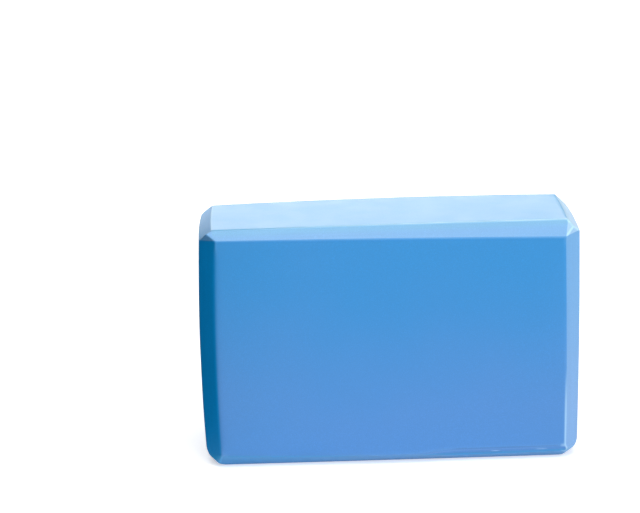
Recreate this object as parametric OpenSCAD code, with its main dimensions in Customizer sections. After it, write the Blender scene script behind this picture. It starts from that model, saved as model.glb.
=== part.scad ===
// Foam exercise block: one solid of closed-cell foam, with all twelve edges skived off by hand.
// It stands on a long narrow side. X runs along its length, Y through its thickness with the
// front face towards -Y, and Z up, with the origin in the middle of the underside.

/* [Block] */
// Length of the block, end to end
block_length = 230; // [150:0.5:400]
// Thickness of the block between its two large faces
block_thickness = 76; // [50:0.5:150]
// Height of the block as it stands on its long narrow side
block_height = 152; // [90:0.5:300]

/* [Skived edges] */
// Width of an even skive, measured along either face that it joins
skive = 8; // [3:0.1:16]
// Skive on the top front edge at its left end, where the blade ran shallow
top_front_left = 5.4; // [3:0.1:16]
// Skive on the top front edge at its right end
top_front_right = 8.8; // [3:0.1:16]
// Skive on the bottom front edge at each of its ends
bottom_front_ends = 10; // [3:0.1:16]
// Skive on the bottom front edge halfway along, where the blade rode out
bottom_front_middle = 5.5; // [3:0.1:16]
// Skive on the top back edge at its left end
top_back_left = 11; // [3:0.1:16]
// Skive on the top back edge at its right end
top_back_right = 9.4; // [3:0.1:16]
// Skive on the upright edge at the left of the front face
left_front = 9.5; // [3:0.1:16]
// Skive on the upright edge at the right of the front face
right_front = 9; // [3:0.1:16]
// Skive across the right end of the top
top_right = 7.4; // [3:0.1:16]
// Skive across the right end of the underside
bottom_right = 7; // [3:0.1:16]

/* [Softness] */
// Radius to which the foam's cut arrises relax
arris_radius = 1.4; // [0.4:0.1:3]

/* [Hidden] */
foam_blue = [0.35, 0.63, 0.88];

// Flats in a full turn of an arris
arris_flats = 32;
// Straight stretches that follow the blade along a bowed cut
blade_stretches = 12;
// How far the blade passes outside the foam, at the ends of a cut and across it
blade_overrun = 20;
// A bow under this much is a straight cut
straight_within = 0.001;

// The arrises are rounded by rolling a ball over a smaller core. The ball adds its radius square
// to each face and each skive, so the core's own skives are narrower by the trim, and the
// finished ones come out at their set widths.
core_size = [block_length, block_thickness, block_height] - 2 * arris_radius * [1, 1, 1];
core_trim = (2 - sqrt(2)) * arris_radius;

// Widths at the low end, the middle and the high end of a skive
function even(width) = [width, width, width];
function tapered(low, high) = [low, (low + high) / 2, high];
function bowed(ends, middle) = [ends, middle, ends];

// Each edge by the sides that it lies on, as signs along X, Y and Z with 0 along its own run
edges = [
    [[0, -1, 1], tapered(top_front_left, top_front_right)], // top front
    [[0, -1, -1], bowed(bottom_front_ends, bottom_front_middle)], // bottom front
    [[0, 1, 1], tapered(top_back_left, top_back_right)], // top back
    [[0, 1, -1], even(skive)], // bottom back
    [[-1, -1, 0], even(left_front)], // upright, front left
    [[1, -1, 0], even(right_front)], // upright, front right
    [[-1, 1, 0], even(skive)], // upright, back left
    [[1, 1, 0], even(skive)], // upright, back right
    [[-1, 0, 1], even(skive)], // across the top, left
    [[1, 0, 1], even(top_right)], // across the top, right
    [[-1, 0, -1], even(skive)], // across the underside, left
    [[1, 0, -1], even(bottom_right)], // across the underside, right
];

// Width of a skive a share of the way along its edge, on the parabola through its three widths
function width_at(widths, share) =
    widths[0] * (1 - share) * (1 - 2 * share)
    + widths[1] * 4 * share * (1 - share)
    + widths[2] * share * (2 * share - 1);
function is_straight(widths) = abs(widths[0] - 2 * widths[1] + widths[2]) < straight_within;

// What the blade takes off an edge on the X axis, where the foam lies towards +Y and +Z
module blade_cut(run, widths) {
    stretches = is_straight(widths) ? 1 : blade_stretches;
    start = -run / 2 - blade_overrun;
    reach = run + 2 * blade_overrun;
    path = [
        for (i = [0 : stretches])
            let (
                x = start + reach * i / stretches,
                width = width_at(widths, x / run + 1 / 2) - core_trim)
            [x, width / sqrt(2)],
    ];
    rotate([45, 0, 0])
        linear_extrude(height = 2 * blade_overrun, center = true)
            polygon(concat([[start, -blade_overrun]], path, [[start + reach, -blade_overrun]]));
}

// Lays a cut for the X axis along another edge: its run, its facing and its place
module on_edge(side) {
    swap = side.y == 0 ? [1, -1, 0] : side.z == 0 ? [1, 0, -1] : [0, 0, 0];
    translate([side.x * core_size.x, side.y * core_size.y, side.z * core_size.z] / 2)
        mirror([max(side.x, 0), 0, 0])
            mirror([0, max(side.y, 0), 0])
                mirror([0, 0, max(side.z, 0)])
                    mirror(swap)
                        children();
}

function run_of(side) =
    side.x == 0 ? core_size.x : side.y == 0 ? core_size.y : core_size.z;

// The slab as the blade leaves it, with sharp arrises
module skived_core() {
    difference() {
        cube(core_size, center = true);
        for (edge = edges)
            on_edge(edge[0])
                blade_cut(run_of(edge[0]), edge[1]);
    }
}

module foam_block() {
    color(foam_blue)
        translate([0, 0, block_height / 2])
            minkowski() {
                skived_core();
                sphere(r = arris_radius, $fn = arris_flats);
            }
}

foam_block();
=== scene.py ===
import math

import bpy
from mathutils import Matrix, Vector


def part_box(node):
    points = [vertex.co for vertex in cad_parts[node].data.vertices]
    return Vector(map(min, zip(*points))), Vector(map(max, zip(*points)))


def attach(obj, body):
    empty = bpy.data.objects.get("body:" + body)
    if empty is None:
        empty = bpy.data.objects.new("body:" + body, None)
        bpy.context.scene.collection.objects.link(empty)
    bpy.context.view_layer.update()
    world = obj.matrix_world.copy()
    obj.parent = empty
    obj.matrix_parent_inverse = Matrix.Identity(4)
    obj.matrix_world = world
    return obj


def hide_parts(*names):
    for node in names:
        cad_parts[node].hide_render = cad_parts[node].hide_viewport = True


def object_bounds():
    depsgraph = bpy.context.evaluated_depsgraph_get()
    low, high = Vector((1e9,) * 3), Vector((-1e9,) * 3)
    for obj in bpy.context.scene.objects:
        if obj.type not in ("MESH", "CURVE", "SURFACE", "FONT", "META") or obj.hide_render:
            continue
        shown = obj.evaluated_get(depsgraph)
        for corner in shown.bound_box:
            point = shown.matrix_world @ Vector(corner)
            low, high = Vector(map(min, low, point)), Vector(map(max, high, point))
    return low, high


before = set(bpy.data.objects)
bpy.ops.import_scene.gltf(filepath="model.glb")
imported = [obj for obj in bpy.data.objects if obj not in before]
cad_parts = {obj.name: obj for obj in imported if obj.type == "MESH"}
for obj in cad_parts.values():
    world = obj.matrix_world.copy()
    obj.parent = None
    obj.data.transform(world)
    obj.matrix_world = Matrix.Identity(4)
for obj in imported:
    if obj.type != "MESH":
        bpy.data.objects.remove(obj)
cadLow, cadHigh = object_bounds()
mm = 0.001
print("stage 1: the frame is loaded, with", len(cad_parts), "solid to dress")

# where new nodes go in a tree, so that it can be read in the node editor
nodeGrid = {"across": 180, "down": 220, "perRow": 12}


# in all of these helpers a value may be a socket to link from, or a plain number or vector
def plug(tree, value, socket):
    if isinstance(value, bpy.types.NodeSocket):
        tree.links.new(value, socket)
    else:
        socket.default_value = value


def addNode(tree, kind, **settings):
    node = tree.nodes.new(kind)
    row, column = divmod(len(tree.nodes), nodeGrid["perRow"])
    node.location = (nodeGrid["across"] * column, -nodeGrid["down"] * row)
    for name, value in settings.items():
        setattr(node, name, value)
    return node


def scalar(tree, operation, *values, clamp=False):
    node = addNode(tree, "ShaderNodeMath", operation=operation, use_clamp=clamp)
    for value, socket in zip(values, node.inputs):
        plug(tree, value, socket)
    return node.outputs[0]


def product(tree, first, *others):
    for value in others:
        first = scalar(tree, "MULTIPLY", first, value)
    return first


def vector(tree, operation, *values):
    node = addNode(tree, "ShaderNodeVectorMath", operation=operation)
    for value, socket in zip(values, [s for s in node.inputs if s.enabled]):
        plug(tree, value, socket)
    return next(s for s in node.outputs if s.enabled)


def split(tree, value):
    node = addNode(tree, "ShaderNodeSeparateXYZ")
    plug(tree, value, node.inputs[0])
    return list(node.outputs)


def combine(tree, x, y, z):
    node = addNode(tree, "ShaderNodeCombineXYZ")
    for value, socket in zip((x, y, z), node.inputs):
        plug(tree, value, socket)
    return node.outputs[0]


def triple(tree, value):
    return combine(tree, value, value, value)


# low may be above high, and the ramp then runs the other way
def ramp(tree, value, low, high, start=0.0, end=1.0):
    node = addNode(tree, "ShaderNodeMapRange", interpolation_type="SMOOTHSTEP")
    for item, socket in zip((value, low, high, start, end), node.inputs):
        plug(tree, item, socket)
    return node.outputs[0]


def noise(tree, place, scale, detail):
    node = addNode(tree, "ShaderNodeTexNoise", noise_dimensions="3D")
    plug(tree, place, node.inputs["Vector"])
    plug(tree, scale, node.inputs["Scale"])
    plug(tree, detail, node.inputs["Detail"])
    return node.outputs[0]


# a Mix node's colour sockets come after those that it has for numbers and vectors
def mix(tree, share, low, high):
    node = addNode(tree, "ShaderNodeMix", data_type="RGBA")
    for value, slot in ((share, 0), (low, 6), (high, 7)):
        plug(tree, value, node.inputs[slot])
    return node.outputs[2]


def addSockets(tree, kinds, direction="INPUT"):
    for name, kind in kinds.items():
        tree.interface.new_socket(name, in_out=direction, socket_type="NodeSocket" + kind)


# the kind of socket that a setting's value needs
def kindOf(value):
    if isinstance(value, bpy.types.Material):
        return "Material"
    if isinstance(value, (tuple, list, Vector)):
        return "Vector"
    return "Int" if isinstance(value, int) else "Float"


# one step of a chain of geometry nodes
def step(tree, kind, geometry, inputs=None, **settings):
    node = addNode(tree, kind, **settings)
    plug(tree, geometry, node.inputs[0])
    for name, value in (inputs or {}).items():
        plug(tree, value, node.inputs[name])
    return node.outputs[0]


def store(tree, geometry, name, value, kind):
    inputs = {"Name": name, "Value": value}
    return step(tree, "GeometryNodeStoreNamedAttribute", geometry, inputs, data_type=kind, domain="POINT")


def blur(tree, value, kind, rounds, weight=1.0):
    node = addNode(tree, "GeometryNodeBlurAttribute", data_type=kind)
    for name, item in (("Value", value), ("Iterations", rounds), ("Weight", weight)):
        plug(tree, item, node.inputs[name])
    return node.outputs[0]


# the block's sides: what each axis has at its low and at its high end
sides = (("Left", "Right"), ("Front", "Back"), ("Bottom", "Top"))
facePairs = [(own, across) for own in range(3) for across in range(3) if own != across]  # by their axes


def axisOf(side):
    return next(axis for axis in range(3) if side in sides[axis])


def signOf(side):
    return 1.0 if side == sides[axisOf(side)][1] else -1.0


# the axis that the edge between two sides runs along
def runOf(side, other):
    return 3 - axisOf(side) - axisOf(other)


# the foam block: "Top Front" is the skive between those sides, and "Front From Top" is the crease
# that the skive leaves on the front
block = {
    "skiveRows": 5,  # rows from a crease to the middle line of its skive
    "flatRows": (14, 7, 11),  # rows from a crease to the middle of the face, along X, Y and Z
    "rowEase": 1.76,  # above 1 the rows crowd towards the creases
    "smoothing": 2,  # how many times the grid is subdivided
    "evenSkive": 8.0 * mm,  # the width of the skives that the list below leaves out
    "edges": {  # skive widths at the edge's low end, middle and high end, in mm
        "Top Front": (5.0, 7.5, 8.9),
        "Bottom Front": (9.2, 6.4, 6.8),
        "Top Back": (13.2, 7.1, 8.6),
        "Left Front": (9.0, 9.5, 9.4),
        "Right Front": (7.9, 8.5, 9.2),
        "Left Top": (7.2, 7.2, 7.2),
        "Right Top": (7.4, 7.4, 7.4),
        "Right Bottom": (7.0, 7.0, 7.0),
        "Front From Top": (5.4, 6.8, 8.7),  # where a skive isn't as wide on one face as on the other
        "Bottom From Front": (7.5, 7.5, 7.5),
    },
    "corners": {
        "Apex Inset": (-2.1 * mm, -0.6 * mm, 0.0),  # the top left front corner lost less than the rest
        "Foot Inset": (2.2 * mm, 0.0, -1.5 * mm),  # the bottom left front corner leans in more
    },
    "recut": {  # the knife's second pass along the bottom front, towards the right
        "Recut Start": 6 * mm,
        "Recut End": 43 * mm,
        "Recut Rise Low": 6.3 * mm,  # its height above the underside, where it starts and ends
        "Recut Rise High": 9.2 * mm,
        "Recut Lean": 0.5,
        "Recut Softness": 0.12 * mm,
    },
    "soft": {  # the softest creases: where along each that starts and is full, from the middle, and how soft
        "Front From Left": (-90 * mm, -80 * mm, 0.3),
        "Front From Right": (-16 * mm, 14 * mm, 1.0),
        "Top From Right": (-60 * mm, -50 * mm, 1.0),
        "Front From Bottom": (-10 * mm, -60 * mm, 0.8),
    },
    "relaxing": {
        "Soft Rounds": 70,
        "Crease Reach": 14 * mm,  # how far in from a side a soft crease may lie
        "Corner Rounds": 14,
        "Corner Softness": 0.2,
    },
    # where a crease's band starts and is full, in the shares of its face's side and of the side across it
    "creaseShares": ((0.90, 0.98), (0.60, 0.40)),
    "fullReach": 0.8,  # the part of its reach, next to the side, over which a crease's band is full
    "sharpEnds": 0.7,  # the part of it, next to the edge's ends, over which a soft crease stays sharp
    "endShare": 0.15,  # the share of the end's own skive at which a soft crease has faded away
    "cornerShare": 0.35,  # the least of the three shares at which a corner is fully soft
    "foot": {  # the underside's ends are rounded off, and the front corner on the right is cut away
        "Left Radius": 13.0 * mm,
        "Right Radius": 12.5 * mm,
        "Corner Cut": 5.9 * mm,
        "Corner Place": 102.4 * mm,
        "Corner Blend": 3.0 * mm,
    },
    "barrel": {  # how far each side's middle stands out, and how fast it falls away along X, Y and Z
        "Stand Out": (1.5 * mm, 0.15 * mm, 0.15 * mm),
        "Fall X": (0.0, 1.2 * mm, 1.4 * mm),
        "Fall Y": (0.3 * mm, 0.0, 0.3 * mm),
        "Fall Z": (0.3 * mm, 0.2 * mm, 0.0),
        "Bow": (0.67 * mm, 0.0, 0.0),  # how far the top and the bottom sit to the right of the middle
    },
    "unevenness": {
        "Swell": 0.16 * mm,
        "Swell Scale": 22.0,  # waves a metre
        "Chatter": 0.02 * mm,
        "Chatter Scale": 90.0,
        "Level Height": 6 * mm,  # the underside stays flat, and unevenness grows up to here
        "Seed": 4.0,
    },
    "waveDetail": 1.0,  # how many finer waves both of these have
    "polish": {  # arrises that are glossier and carry a painted highlight: where that starts and is full, and how much
        "Top From Front": (-140 * mm, 40 * mm, 1.0),
        "Top From Left": (-60 * mm, -50 * mm, 0.15),
        "Front From Right": (-10 * mm, -40 * mm, 0.6),
    },
    "shine": {
        "Polish Reach": 12 * mm,
        "Corner Polish": 0.6,  # how glossy the mitres of the top right front corner are, and how much painted highlight they carry
    },
    "cornerShine": (0.02, 0.1),  # the least of the three shares, where that starts and is full
    "arrisTurn": (0.015, 0.08),  # the turns, in radians, at which an arris starts and is full
    "arrisBlur": 2,  # rounds
}


# the width of a face's border, chosen by the ends that its own side and the side across it are at
def buildBorderTree():
    tree = bpy.data.node_groups.new("borderWidth", "GeometryNodeTree")
    addSockets(tree, {"Own High": "Bool", "Across High": "Bool", "Blend": "Vector"})
    addSockets(tree, {f"{own} {across}": "Vector" for own in ("Low", "High") for across in ("Low", "High")})
    addSockets(tree, {"Width": "Float"}, "OUTPUT")
    given = addNode(tree, "NodeGroupInput").outputs

    def choose(switch, low, high):
        node = addNode(tree, "GeometryNodeSwitch", input_type="VECTOR")
        for value, socket in zip((switch, low, high), node.inputs):
            plug(tree, value, socket)
        return node.outputs[0]

    ownLow = choose(given["Across High"], given["Low Low"], given["Low High"])
    ownHigh = choose(given["Across High"], given["High Low"], given["High High"])
    widths = choose(given["Own High"], ownLow, ownHigh)
    width = vector(tree, "DOT_PRODUCT", widths, given["Blend"])
    plug(tree, width, addNode(tree, "NodeGroupOutput").inputs["Width"])
    return tree


def borderName(own, ownEnd, across, acrossEnd):
    return f"{sides[own][ownEnd]} From {sides[across][acrossEnd]}"


def borderWidths(side, other):
    for name in (f"{side} From {other}", f"{side} {other}", f"{other} {side}"):
        if name in block["edges"]:
            return [width * mm for width in block["edges"][name]]
    return [block["evenSkive"]] * 3


# how far in the flats start: one vector for each axis's faces, and one for the corners
def buildInsets(tree, given, along):
    # how much each of an edge's three widths counts at this place along it, on a parabola through them
    blends, highs = [], []
    for run in split(tree, along):
        s = scalar(tree, "MULTIPLY_ADD", run, 0.5, 0.5)
        low = product(tree, scalar(tree, "SUBTRACT", 1.0, s), scalar(tree, "MULTIPLY_ADD", s, -2.0, 1.0))
        high = product(tree, s, scalar(tree, "MULTIPLY_ADD", s, 2.0, -1.0))
        middle = scalar(tree, "SUBTRACT", scalar(tree, "SUBTRACT", 1.0, low), high)
        blends.append(combine(tree, low, middle, high))
        highs.append(scalar(tree, "GREATER_THAN", run, 0.0))

    # the widths are those of the two sides that are nearest
    borderTree = buildBorderTree()
    widths = {}
    for own, across in facePairs:
        node = addNode(tree, "GeometryNodeGroup", node_tree=borderTree)
        values = [highs[own], highs[across], blends[3 - own - across]]
        values += [given[borderName(own, a, across, b)] for a in range(2) for b in range(2)]
        for value, socket in zip(values, node.inputs):
            plug(tree, value, socket)
        widths[own, across] = node.outputs[0]
    flats = [combine(tree, *[widths.get((own, axis), 0.0) for axis in range(3)]) for own in range(3)]

    # at a corner the middle lines of three skives meet
    means = {}
    for own, across in facePairs:
        both = scalar(tree, "ADD", widths[own, across], widths[across, own])
        means[own, across] = product(tree, both, 0.5)
    corner = []
    for axis in range(3):
        a, b = [other for other in range(3) if other != axis]
        both = scalar(tree, "ADD", means[axis, a], means[axis, b])
        corner.append(product(tree, scalar(tree, "SUBTRACT", both, means[a, b]), 0.5))
    corner = combine(tree, *corner)
    leftFront = scalar(tree, "LESS_THAN", scalar(tree, "ADD", highs[0], highs[1]), 0.5)
    apex = product(tree, leftFront, highs[2])
    foot = scalar(tree, "SUBTRACT", leftFront, apex)
    for name, mask in (("Apex Inset", apex), ("Foot Inset", foot)):
        corner = vector(tree, "ADD", corner, vector(tree, "SCALE", given[name], mask))
    return flats, corner


# a cube's grid is drawn in to flat faces and straight skives that meet in mitres
def skiveCube(tree, given, place, half):
    # its rows run from -1 to 1 each way, and the skives take a share of them at each end
    skiveRows = triple(tree, given["Skive Rows"])
    allRows = vector(tree, "ADD", given["Flat Rows"], skiveRows)
    cube = addNode(tree, "GeometryNodeMeshCube")
    cube.inputs["Size"].default_value = (2, 2, 2)
    for rows, name in zip(split(tree, allRows), "XYZ"):
        plug(tree, scalar(tree, "MULTIPLY_ADD", rows, 2.0, 1.0), cube.inputs["Vertices " + name])
    share = vector(tree, "DIVIDE", skiveRows, allRows)
    flatShare = vector(tree, "SUBTRACT", (1, 1, 1), share)
    reach = vector(tree, "ABSOLUTE", place)
    past = vector(tree, "DIVIDE", vector(tree, "SUBTRACT", reach, flatShare), share)
    past = vector(tree, "MAXIMUM", past, (0, 0, 0))  # 0 at a crease, 1 on the cube's own edge
    inner = vector(tree, "MINIMUM", vector(tree, "DIVIDE", reach, flatShare), (1, 1, 1))
    left = vector(tree, "SUBTRACT", (1, 1, 1), inner)
    eased = vector(tree, "SUBTRACT", (1, 1, 1), vector(tree, "POWER", left, triple(tree, given["Row Ease"])))
    along = vector(tree, "MULTIPLY", eased, vector(tree, "SIGN", place))
    flats, corner = buildInsets(tree, given, along)

    # from the flat's corner out to the middle line of the skive, and on to the mitre
    x, y, z = split(tree, past)
    least = scalar(tree, "MINIMUM", scalar(tree, "MINIMUM", x, y), z)
    total = scalar(tree, "ADD", scalar(tree, "ADD", x, y), z)
    middle = scalar(tree, "SUBTRACT", scalar(tree, "SUBTRACT", total, 1.0), least)
    over = vector(tree, "SUBTRACT", past, triple(tree, least))
    halfway = product(tree, scalar(tree, "SUBTRACT", middle, least), 0.5)
    steep = vector(tree, "SUBTRACT", over, triple(tree, halfway))
    weights = vector(tree, "MAXIMUM", vector(tree, "SCALE", over, 0.5), steep)
    inset = vector(tree, "SCALE", corner, least)
    for weight, flat in zip(split(tree, weights), flats):
        inset = vector(tree, "ADD", inset, vector(tree, "SCALE", flat, weight))
    drawn = vector(tree, "MULTIPLY", along, vector(tree, "SUBTRACT", half, inset))

    # the shares are stored on the cube, because they follow from its own places
    shape = store(tree, cube.outputs["Mesh"], "skiveShare", past, "FLOAT_VECTOR")
    shape = step(tree, "GeometryNodeSetPosition", shape, {"Position": drawn})
    return step(tree, "GeometryNodeSubdivisionSurface", shape, {"Level": given["Smoothing"]})


# the block is shaped about its own middle, so a place's height is above the underside there
def heightAbove(tree, place, half):
    return scalar(tree, "ADD", split(tree, place)[2], split(tree, half)[2])


# the second pass leans from the front face down to what the first pass left
def recutFront(tree, given, place, half, shape):
    x, y, z = split(tree, place)
    limits = [given["Recut " + name] for name in ("Start", "End", "Rise Low", "Rise High")]
    rise = ramp(tree, x, *limits)
    left = scalar(tree, "SUBTRACT", rise, heightAbove(tree, place, half))
    blade = scalar(tree, "SUBTRACT", product(tree, left, given["Recut Lean"]), split(tree, half)[1])
    cut = scalar(tree, "SMOOTH_MAX", y, blade, given["Recut Softness"])
    return step(tree, "GeometryNodeSetPosition", shape, {"Position": combine(tree, x, cut, z)})


def readShares(tree):
    node = addNode(tree, "GeometryNodeInputNamedAttribute", data_type="FLOAT_VECTOR")
    plug(tree, "skiveShare", node.inputs["Name"])
    shares = split(tree, node.outputs[0])
    least = scalar(tree, "MINIMUM", scalar(tree, "MINIMUM", shares[0], shares[1]), shares[2])
    return shares, least


# how far out a place is towards one of the sides
def outTowards(tree, place, side):
    return product(tree, split(tree, place)[axisOf(side)], signOf(side))


# 1 along the crease at a face's border, over the stretch that its limits give
def creaseMask(tree, name, limits, reach, place, half, shares):
    names = name.split(" From ")
    start, full, strength = split(tree, limits)
    mask = product(tree, ramp(tree, split(tree, place)[runOf(*names)], start, full), strength)
    for side, (none, whole) in zip(names, block["creaseShares"]):
        axis = axisOf(side)
        edge = split(tree, half)[axis]
        near = scalar(tree, "SUBTRACT", edge, reach)
        nearer = scalar(tree, "MULTIPLY_ADD", reach, -block["fullReach"], edge)
        inBand = ramp(tree, shares[axis], none, whole)
        mask = product(tree, mask, inBand, ramp(tree, outTowards(tree, place, side), near, nearer))
    return mask


# some creases relax more than the others, and so do the corners, where three skives meet
def relaxCreases(tree, given, place, half, shape):
    shares, least = readShares(tree)
    reach = given["Crease Reach"]
    softness = 0.0
    for name in block["soft"]:
        mask = creaseMask(tree, name, given["Soft " + name], reach, place, half, shares)
        run = runOf(*name.split(" From "))
        end = split(tree, half)[run]
        inner = scalar(tree, "SUBTRACT", end, reach)
        outer = scalar(tree, "MULTIPLY_ADD", reach, -block["sharpEnds"], end)
        off = scalar(tree, "ABSOLUTE", split(tree, place)[run])
        mask = product(tree, mask, ramp(tree, shares[run], block["endShare"], 0.0))
        mask = product(tree, mask, ramp(tree, off, outer, inner))
        softness = scalar(tree, "MAXIMUM", softness, mask)
    relaxed = blur(tree, place, "FLOAT_VECTOR", given["Soft Rounds"], softness)
    shape = step(tree, "GeometryNodeSetPosition", shape, {"Position": relaxed})

    near = product(tree, ramp(tree, least, 0.0, block["cornerShare"]), given["Corner Softness"])
    relaxed = blur(tree, place, "FLOAT_VECTOR", given["Corner Rounds"], near)
    return step(tree, "GeometryNodeSetPosition", shape, {"Position": relaxed})


# the underside's left and right ends are rounded off, and its right front corner is cut away
def roundFoot(tree, given, place, half, shape):
    x, y, z = split(tree, place)
    ends = split(tree, half)
    onRight = scalar(tree, "GREATER_THAN", x, 0.0)
    wider = scalar(tree, "SUBTRACT", given["Right Radius"], given["Left Radius"])
    radius = scalar(tree, "MULTIPLY_ADD", wider, onRight, given["Left Radius"])
    overX = scalar(tree, "ADD", scalar(tree, "SUBTRACT", scalar(tree, "ABSOLUTE", x), ends[0]), radius)
    overZ = scalar(tree, "SUBTRACT", scalar(tree, "SUBTRACT", radius, ends[2]), z)
    off = combine(tree, scalar(tree, "MAXIMUM", overX, 0.0), 0.0, scalar(tree, "MAXIMUM", overZ, 0.0))
    length = vector(tree, "LENGTH", off)
    spare = scalar(tree, "MAXIMUM", scalar(tree, "SUBTRACT", length, radius), 0.0)
    spare = scalar(tree, "DIVIDE", spare, length)
    inwards = combine(tree, scalar(tree, "MULTIPLY_ADD", onRight, -2.0, 1.0), 0.0, 1.0)
    pull = vector(tree, "SCALE", vector(tree, "MULTIPLY", off, inwards), spare)
    shape = step(tree, "GeometryNodeSetPosition", shape, {"Offset": pull})

    diagonal = math.sqrt(0.5)
    above = heightAbove(tree, place, half)
    slant = product(tree, scalar(tree, "SUBTRACT", x, y), diagonal)
    left = scalar(tree, "SUBTRACT", given["Corner Cut"], above)
    allowed = scalar(tree, "SUBTRACT", given["Corner Place"], left)
    held = scalar(tree, "SMOOTH_MIN", slant, allowed, given["Corner Blend"])
    moved = product(tree, scalar(tree, "SUBTRACT", held, slant), diagonal)
    moved = product(tree, moved, scalar(tree, "LESS_THAN", above, radius))
    pull = combine(tree, moved, product(tree, moved, -1.0), 0.0)
    return step(tree, "GeometryNodeSetPosition", shape, {"Offset": pull})


# each side's middle stands out a little, like a barrel's, and the skin is slightly uneven
def bowSides(tree, given, place, half, shape):
    share = vector(tree, "DIVIDE", place, half)
    square = vector(tree, "MULTIPLY", share, share)
    falls = [vector(tree, "DOT_PRODUCT", given["Fall " + axis], square) for axis in "XYZ"]
    out = vector(tree, "SUBTRACT", given["Stand Out"], combine(tree, *falls))
    out = vector(tree, "MULTIPLY", out, share)
    out = vector(tree, "ADD", out, vector(tree, "SCALE", given["Bow"], split(tree, square)[2]))
    upper = scalar(tree, "GREATER_THAN", split(tree, place)[2], 0.0)
    out = vector(tree, "MULTIPLY", out, combine(tree, 1.0, 1.0, upper))  # the underside stays flat

    shifted = vector(tree, "ADD", place, triple(tree, given["Seed"]))
    waves = []
    for name in ("Swell", "Chatter"):
        wave = noise(tree, shifted, given[name + " Scale"], block["waveDetail"])
        waves.append(product(tree, scalar(tree, "MULTIPLY_ADD", wave, 2.0, -1.0), given[name]))
    level = ramp(tree, heightAbove(tree, place, half), 0.0, given["Level Height"])
    normal = addNode(tree, "GeometryNodeInputNormal").outputs[0]
    wave = product(tree, scalar(tree, "ADD", *waves), level)
    out = vector(tree, "ADD", out, vector(tree, "SCALE", normal, wave))
    return step(tree, "GeometryNodeSetPosition", shape, {"Offset": out})


# how sharply the surface turns at each point, and which arrises are glossier and carry a painted highlight:
# some creases, and the mitres of the top right front corner
def markArrises(tree, given, place, half, shape):
    angle = addNode(tree, "GeometryNodeInputMeshEdgeAngle").outputs[0]
    turned = blur(tree, ramp(tree, angle, *block["arrisTurn"]), "FLOAT", block["arrisBlur"])
    shape = store(tree, shape, "arris", turned, "FLOAT")
    shares, least = readShares(tree)
    glossAndHighlight = ramp(tree, least, *block["cornerShine"], 0.0, given["Corner Polish"])
    for side in ("Top", "Right", "Front"):
        glossAndHighlight = product(tree, glossAndHighlight, scalar(tree, "GREATER_THAN", outTowards(tree, place, side), 0.0))
    for name in block["polish"]:
        mask = creaseMask(tree, name, given["Polish " + name], given["Polish Reach"], place, half, shares)
        glossAndHighlight = scalar(tree, "MAXIMUM", glossAndHighlight, mask)
    return store(tree, shape, "polish", product(tree, glossAndHighlight, turned), "FLOAT")


def buildBlockTree(values):
    tree = bpy.data.node_groups.new("skivedBlock", "GeometryNodeTree")
    addSockets(tree, {"Geometry": "Geometry"})
    addSockets(tree, {name: kindOf(value) for name, value in values.items()})
    addSockets(tree, {"Geometry": "Geometry"}, "OUTPUT")
    given = addNode(tree, "NodeGroupInput").outputs
    place = addNode(tree, "GeometryNodeInputPosition").outputs[0]
    half = vector(tree, "SCALE", given["Size"], 0.5)
    shape = skiveCube(tree, given, place, half)
    for stage in (recutFront, relaxCreases, roundFoot, bowSides, markArrises):
        shape = stage(tree, given, place, half, shape)
    standing = vector(tree, "MULTIPLY", half, (0, 0, 1))
    shape = step(tree, "GeometryNodeTransform", shape, {"Translation": standing})
    shape = step(tree, "GeometryNodeSetShadeSmooth", shape)
    shape = step(tree, "GeometryNodeRealizeInstances", shape)
    shape = step(tree, "GeometryNodeSetMaterial", shape, {"Material": given["Material"]})
    plug(tree, shape, addNode(tree, "NodeGroupOutput").inputs["Geometry"])
    return tree


# what the block's tree is given, by its inputs' names
def blockValues(material):
    low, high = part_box("foam_block")
    values = {"Size": high - low, "Skive Rows": block["skiveRows"], "Flat Rows": block["flatRows"]}
    values.update({"Row Ease": block["rowEase"], "Smoothing": block["smoothing"], "Material": material})
    for group in ("corners", "recut", "relaxing", "foot", "barrel", "unevenness", "shine"):
        values.update(block[group])
    for group in ("soft", "polish"):
        values.update({f"{group.capitalize()} {name}": value for name, value in block[group].items()})
    for own, across in facePairs:
        for a in range(2):
            for b in range(2):
                values[borderName(own, a, across, b)] = borderWidths(sides[own][a], sides[across][b])
    return values


# the tree's result becomes a plain mesh, and its modifier goes
def runTree(name, tree, values):
    holder = bpy.data.objects.new(name, bpy.data.meshes.new(name))
    bpy.context.scene.collection.objects.link(holder)
    modifier = holder.modifiers.new("shape", "NODES")
    modifier.node_group = tree
    for item in tree.interface.items_tree:
        if item.in_out == "INPUT" and item.name in values:
            modifier[item.identifier] = values[item.name]
    evaluated = holder.evaluated_get(bpy.context.evaluated_depsgraph_get())
    mesh = bpy.data.meshes.new_from_object(evaluated)
    mesh.name = name
    holder.modifiers.remove(modifier)
    holder.data = mesh
    if mesh.materials and mesh.materials[0] is None:  # Set Material leaves an empty first slot
        mesh.materials.pop(index=0)
    return holder
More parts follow.
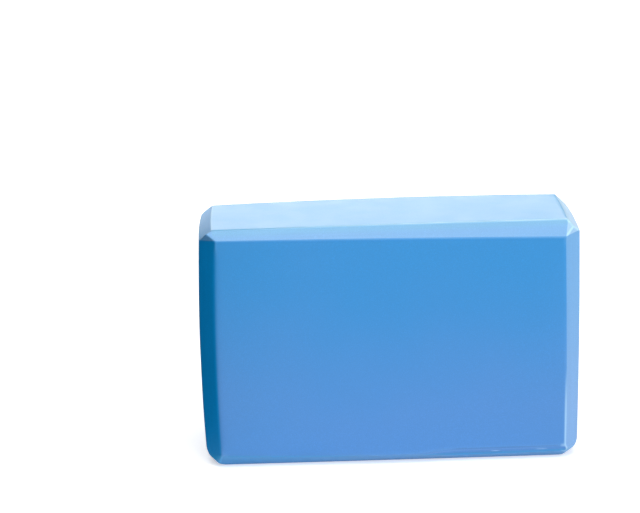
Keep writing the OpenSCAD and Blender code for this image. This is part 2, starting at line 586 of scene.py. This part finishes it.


# closed-cell foam: fine cells all over, faint knife streaks along the skives, paler arrises; the colour also
# holds painted light: highlights on arrises, light from the floor lower down, a greener top, shade on the
# left skives, lighter tints on other skives and shade in the recut's crease
foam = {
    "colour": (0.008, 0.234, 0.582, 1),
    "floorLightColour": (0.060, 0.238, 0.590, 1),  # what the colour turns to lower down: painted light from the white floor
    "floorLightHeights": (145 * mm, 15 * mm),  # where that starts and is full
    "topLightTint": (0.008, 0.268, 0.550, 1),  # the top's colour, a little greener: painted light on the top
    "topLightHeights": (147 * mm, 151 * mm),
    "leftShadeColour": (0.0, 0.230, 0.580, 1),  # the left skives' colour, with no red: painted shade on the left
    "mottling": {"scale": 14.0, "detail": 1.5, "depth": 0.5},  # waves a metre, and how far they shift that
    "paintedLightTints": (  # painted light on some skives, lighter than their lamps make them: the colour, its share on corners, and each one's share of it
        # paler on the upper and right skives: painted light
        {
            "colour": (0.50, 0.70, 0.85, 1),
            "corners": 1.0,
            "shares": {
                "Top Front": 0.22,
                "Top Back": 0.22,
                "Top Right": 0.55,
                "Right Front": 0.22,
                "Right Back": 0.22,
            },
        },
        # lighter blue on the top left skive: painted light
        {"colour": (0.12, 0.53, 0.98, 1), "corners": 0.0, "shares": {"Top Left": 0.45}},
        # lighter blue on the bottom front skive: painted light
        {"colour": (0.0, 0.31, 0.61, 1), "corners": 1.0, "shares": {"Bottom Front": 0.40}},
    ),
    "middleHeight": 76 * mm,  # what parts the top's skives from the bottom's
    "sideShare": (0.0, 0.1),  # the shares of a side between which its skives set in
    "skiveTotal": (1.02, 1.12),  # the same for the three sides' shares together, which are 1 on a face
    # the colour of the arrises' painted highlight, which the paler marks use too
    "arris": (0.55, 0.84, 0.99, 1),
    "arrisHighlightShare": 0.9,  # how much of that painted highlight a glossier arris has
    "arrisRest": 0.07,  # how much of that the other arrises have, partly wear and partly painted highlight
    # where the arrises' paleness breaks off into patches along them
    "arrisPatches": {"scale": 26.0, "detail": 1.0, "from": 0.35, "to": 0.6, "least": 0.75},
    "cells": {"scale": 1900.0, "depth": 0.18},  # cells a metre, and how much they lighten or darken
    "streaks": {"along": 9.0, "across": 900.0, "detail": 2.0, "depth": 0.12},  # waves a metre
    "sharp": 1e4,  # makes a step of a share: any skive at all counts as 1
    "roughness": (0.345, 0.375),
    "roughPatches": {"scale": 60.0, "detail": 2.0, "from": 0.3, "to": 0.7},
    "arrisRoughness": 0.28,
    "gloss": 0.5,
    "bump": {"Strength": 0.30, "Distance": 0.06 * mm},
    "marks": (  # darker and paler lines along the recut: from, to, drop below its top edge, half width, strength
        # painted shade along the crease at the recut's top edge
        (38 * mm, 102 * mm, 0.0, 0.35 * mm, -0.12),
        (15.5 * mm, 68 * mm, 3.3 * mm, 0.30 * mm, -0.10),
        (15 * mm, 95 * mm, 1.3 * mm, 0.30 * mm, 0.08),
        (61.8 * mm, 65.8 * mm, 2.6 * mm, 0.30 * mm, 0.4),
        (89.4 * mm, 95 * mm, 2.2 * mm, 0.30 * mm, 0.3),
    ),
    "markEdge": (1.5, 0.5),  # where a mark starts and is full, in its half widths
    "markTaper": 2 * mm,
}


def readAttribute(tree, name, output):
    return addNode(tree, "ShaderNodeAttribute", attribute_name=name).outputs[output]


# how much of a painted-light tint there is on one skive, with none on the faces
def skiveMask(tree, name, most, atCorners, place, shares, total):
    pair = name.split()
    mask = ramp(tree, total, *foam["skiveTotal"], 0.0, most)
    mask = product(tree, mask, ramp(tree, shares[runOf(*pair)], *foam["sideShare"], 1.0, atCorners))
    for side in pair:
        axis = axisOf(side)
        middle = (0.0, 0.0, foam["middleHeight"])[axis]
        test = "GREATER_THAN" if signOf(side) > 0 else "LESS_THAN"
        onSide = scalar(tree, test, split(tree, place)[axis], middle)
        mask = product(tree, mask, ramp(tree, shares[axis], *foam["sideShare"]), onSide)
    return mask


def foamColour(tree, place, shares, total):
    axes = split(tree, place)
    mottling = foam["mottling"]
    cloud = noise(tree, place, mottling["scale"], mottling["detail"])
    cloud = scalar(tree, "MULTIPLY_ADD", cloud, mottling["depth"], -0.5 * mottling["depth"])
    # painted floor light: the colour turns redder lower down, shifted a little by the mottling
    turn = scalar(tree, "ADD", ramp(tree, axes[2], *foam["floorLightHeights"]), cloud, clamp=True)
    colour = mix(tree, turn, foam["colour"], foam["floorLightColour"])
    # painted light on the top: a greener colour near the top
    colour = mix(tree, ramp(tree, axes[2], *foam["topLightHeights"]), colour, foam["topLightTint"])
    # painted shade: the left skives lose their red
    onLeft = scalar(tree, "LESS_THAN", axes[0], 0.0)
    onLeft = product(tree, ramp(tree, shares[0], *foam["sideShare"]), onLeft)
    colour = mix(tree, onLeft, colour, foam["leftShadeColour"])
    # painted light on some skives: lighter tints
    for tint in foam["paintedLightTints"]:
        share = 0.0
        for name, most in tint["shares"].items():
            mask = skiveMask(tree, name, most, tint["corners"], place, shares, total)
            share = scalar(tree, "MAXIMUM", share, mask)
        colour = mix(tree, share, colour, tint["colour"])
    return colour


# streaks run along the axis that the skive's own cut ran along
def knifeStreaks(tree, place, share, total):
    streaks = foam["streaks"]
    cutAcross = vector(tree, "MINIMUM", vector(tree, "SCALE", share, foam["sharp"]), (1, 1, 1))
    scales = vector(tree, "SCALE", cutAcross, streaks["across"] - streaks["along"])
    scales = vector(tree, "ADD", scales, (streaks["along"],) * 3)
    streak = noise(tree, vector(tree, "MULTIPLY", place, scales), 1.0, streaks["detail"])
    return product(tree, scalar(tree, "SUBTRACT", streak, 0.5), ramp(tree, total, *foam["skiveTotal"]))


# lines that follow the recut's top edge on the front: what darkens, and what pales; the dark line right on
# that edge is painted crease shade
def recutLines(tree, place):
    x, y, z = split(tree, place)
    limits = [block["recut"]["Recut " + name] for name in ("Start", "End", "Rise Low", "Rise High")]
    edge = ramp(tree, x, *limits)
    onFront = scalar(tree, "LESS_THAN", y, 0.0)
    none, whole = foam["markEdge"]
    taper = foam["markTaper"]
    dark, pale = 0.0, 0.0
    for start, end, drop, half, strength in foam["marks"]:
        off = scalar(tree, "ABSOLUTE", scalar(tree, "ADD", scalar(tree, "SUBTRACT", z, edge), drop))
        mark = product(tree, ramp(tree, off, half * none, half * whole, 0.0, strength), onFront)
        mark = product(tree, mark, ramp(tree, x, start - taper, start + taper))
        mark = product(tree, mark, ramp(tree, x, end + taper, end - taper))
        if strength < 0:
            dark = scalar(tree, "ADD", dark, mark)
        else:
            pale = scalar(tree, "MAXIMUM", pale, mark)
    return dark, pale


def foamMaterial():
    material = bpy.data.materials.new("closedCellFoam")
    material.use_nodes = True
    tree = material.node_tree
    shader = next(n for n in tree.nodes if n.type == "BSDF_PRINCIPLED")
    place = addNode(tree, "ShaderNodeTexCoord").outputs["Object"]
    share = readAttribute(tree, "skiveShare", "Vector")
    arris = readAttribute(tree, "arris", "Fac")
    polish = readAttribute(tree, "polish", "Fac")
    shares = split(tree, share)
    total = scalar(tree, "ADD", scalar(tree, "ADD", shares[0], shares[1]), shares[2])

    cells = addNode(tree, "ShaderNodeTexVoronoi", feature="F1")
    plug(tree, place, cells.inputs["Vector"])
    plug(tree, foam["cells"]["scale"], cells.inputs["Scale"])
    grain = scalar(tree, "SUBTRACT", cells.outputs["Distance"], 0.5)
    streak = knifeStreaks(tree, place, share, total)
    dark, pale = recutLines(tree, place)
    tone = scalar(tree, "MULTIPLY_ADD", grain, foam["cells"]["depth"], 1.0)
    tone = scalar(tree, "MULTIPLY_ADD", streak, foam["streaks"]["depth"], tone)
    tone = scalar(tree, "ADD", tone, dark)
    toned = vector(tree, "SCALE", foamColour(tree, place, shares, total), tone)

    # painted highlight: glossier arrises, and the marks' paler streaks, turn towards the arris colour in
    # patches
    wearAndHighlight = foam["arrisPatches"]
    patches = noise(tree, place, wearAndHighlight["scale"], wearAndHighlight["detail"])
    patches = ramp(tree, patches, wearAndHighlight["from"], wearAndHighlight["to"], wearAndHighlight["least"], 1.0)
    glossAndHighlight = scalar(tree, "MAXIMUM", polish, product(tree, arris, foam["arrisRest"]))
    paintedHighlight = product(tree, glossAndHighlight, patches, foam["arrisHighlightShare"])
    colour = mix(tree, scalar(tree, "MAXIMUM", paintedHighlight, pale), toned, foam["arris"])
    plug(tree, colour, shader.inputs["Base Color"])

    rough = foam["roughPatches"]
    patches = noise(tree, place, rough["scale"], rough["detail"])
    roughness = ramp(tree, patches, rough["from"], rough["to"], *foam["roughness"])
    drop = product(tree, scalar(tree, "SUBTRACT", foam["arrisRoughness"], roughness), glossAndHighlight)
    plug(tree, scalar(tree, "ADD", roughness, drop), shader.inputs["Roughness"])
    shader.inputs["Specular IOR Level"].default_value = foam["gloss"]

    bump = addNode(tree, "ShaderNodeBump")
    for name, value in foam["bump"].items():
        bump.inputs[name].default_value = value
    plug(tree, scalar(tree, "ADD", grain, streak), bump.inputs["Height"])
    plug(tree, bump.outputs[0], shader.inputs["Normal"])
    return material


def makeBlock():
    material = foamMaterial()
    print("stage 2: the foam has", len(material.node_tree.nodes), "nodes")
    values = blockValues(material)
    piece = runTree("skivedFoamBlock", buildBlockTree(values), values)
    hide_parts("foam_block")
    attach(piece, "root")
    print("stage 3: the block has", len(piece.data.polygons), "faces")


# the camera stands well back and looks down on the block, a touch from its left
view = {
    "lens": 118.74,  # mm, on a 36 mm sensor
    "clip": (0.01, 100),
    "turn": math.radians(-1.26),
    "tilt": math.radians(16.745),
    "roll": math.radians(-1.252),
    "right": 41.96 * mm,  # how far right of and above the view's centre the block's middle is
    "up": -44.64 * mm,
    "distance": 1315.83 * mm,
}


def placeCamera(centre):
    turn, tilt, roll = view["turn"], view["tilt"], view["roll"]
    back = Vector((math.sin(turn) * math.cos(tilt), -math.cos(turn) * math.cos(tilt), math.sin(tilt)))
    level = Vector((math.cos(turn), math.sin(turn), 0))
    upright = back.cross(level)
    right = math.cos(roll) * level + math.sin(roll) * upright
    up = math.cos(roll) * upright - math.sin(roll) * level
    data = bpy.data.cameras.new("camera")
    data.lens = view["lens"]
    data.clip_start, data.clip_end = view["clip"]
    camera = bpy.data.objects.new("camera", data)
    bpy.context.scene.collection.objects.link(camera)
    camera.matrix_world = Matrix((right, up, back)).transposed().to_4x4()
    camera.location = centre - view["right"] * right - view["up"] * up + view["distance"] * back
    bpy.context.scene.camera = camera
    print("stage 4: the camera is", round(view["distance"], 2), "m away")


# wide suns, which light the floor evenly: around is in degrees from the front towards the right,
# up in degrees from level, and width is each sun's own, in degrees
light = {
    "key": {"strength": 1.83, "around": 12, "up": 8, "width": 50},
    "side": {"strength": 1.13, "around": 82, "up": 17, "width": 50},
    "overhead": {"strength": 1.76, "around": 0, "up": 73, "width": 40},
    "rim": {"strength": 0.53, "around": 180, "up": 16, "width": 30},
    "backLeft": {"strength": 0.60, "around": -138, "up": 27, "width": 50},
}
fill = 0.15  # the world's strength for rays that aren't seen


# 1 for rays from the camera, a reflection or glass, and 0 for the rest
def seenShare(tree):
    path = addNode(tree, "ShaderNodeLightPath")
    seen = scalar(tree, "MAXIMUM", path.outputs["Is Camera Ray"], path.outputs["Is Glossy Ray"])
    return scalar(tree, "MAXIMUM", seen, path.outputs["Is Transmission Ray"])


def placeLights():
    world = bpy.data.worlds.new("studio")
    bpy.context.scene.world = world
    world.use_nodes = True
    tree = world.node_tree
    tree.nodes.clear()
    background = addNode(tree, "ShaderNodeBackground")
    plug(tree, scalar(tree, "MULTIPLY_ADD", seenShare(tree), 1.0 - fill, fill), background.inputs["Strength"])
    background.inputs["Color"].default_value = (1, 1, 1, 1)
    plug(tree, background.outputs[0], addNode(tree, "ShaderNodeOutputWorld").inputs["Surface"])
    for name, sun in light.items():
        around, up = math.radians(sun["around"]), math.radians(sun["up"])
        data = bpy.data.lights.new(name, "SUN")
        data.energy = sun["strength"]
        data.angle = math.radians(sun["width"])
        lamp = bpy.data.objects.new(name, data)
        bpy.context.scene.collection.objects.link(lamp)
        towards = Vector((math.sin(around) * math.cos(up), -math.cos(around) * math.cos(up), math.sin(up)))
        lamp.rotation_euler = towards.to_track_quat("Z", "Y").to_euler()
    print("stage 5:", len(light), "suns are up")


studio = {
    "floor": 0.85,
    "glow": 0.50,  # what the floor adds for rays that are seen, so that it shows white
    "reach": 6.0,  # how far the floor runs each way
    "black": 0.02,
    # the card's place along X, the end of its foot, its front and back ends, and its lowest and highest point
    "card": {"left": -0.138, "foot": -0.112, "front": -0.095, "back": 0.03, "low": 0.001, "top": 0.22},
}


def makePatch(name, corners, shade, glow=0.0):
    data = bpy.data.meshes.new(name)
    data.from_pydata(corners, [], [tuple(range(len(corners)))])
    patch = bpy.data.objects.new(name, data)
    bpy.context.scene.collection.objects.link(patch)
    material = bpy.data.materials.new(name + "Paint")
    material.use_nodes = True
    tree = material.node_tree
    shader = next(n for n in tree.nodes if n.type == "BSDF_PRINCIPLED")
    shader.inputs["Base Color"].default_value = (shade, shade, shade, 1)
    shader.inputs["Specular IOR Level"].default_value = 0
    shader.inputs["Emission Color"].default_value = (1, 1, 1, 1)
    if glow:
        plug(tree, product(tree, seenShare(tree), glow), shader.inputs["Emission Strength"])
    data.materials.append(material)
    return patch


# a white floor, and a black card beside the block, bent along its foot, that keeps the floor's light
# off the block's left: the foot shows in reflections alone, so that the floor under it stays white
def layStage():
    r = studio["reach"]
    makePatch("floor", [(-r, -r, 0), (r, -r, 0), (r, r, 0), (-r, r, 0)], studio["floor"], studio["glow"])
    left, foot, front, back, low, top = studio["card"].values()
    upright = [(left, front, low), (left, back, low), (left, back, top), (left, front, top)]
    lying = [(left, front, low), (foot, front, low), (foot, back, low), (left, back, low)]
    card = makePatch("card", upright, studio["black"])
    cardFoot = makePatch("cardFoot", lying, studio["black"])
    for patch in (card, cardFoot):
        patch.visible_camera = False
        patch.visible_shadow = False
    cardFoot.visible_diffuse = False
    print("stage 6: the floor and the card are laid")


bpy.context.scene.view_settings.view_transform = "Standard"
makeBlock()
placeCamera((cadLow + cadHigh) / 2)
placeLights()
layStage()
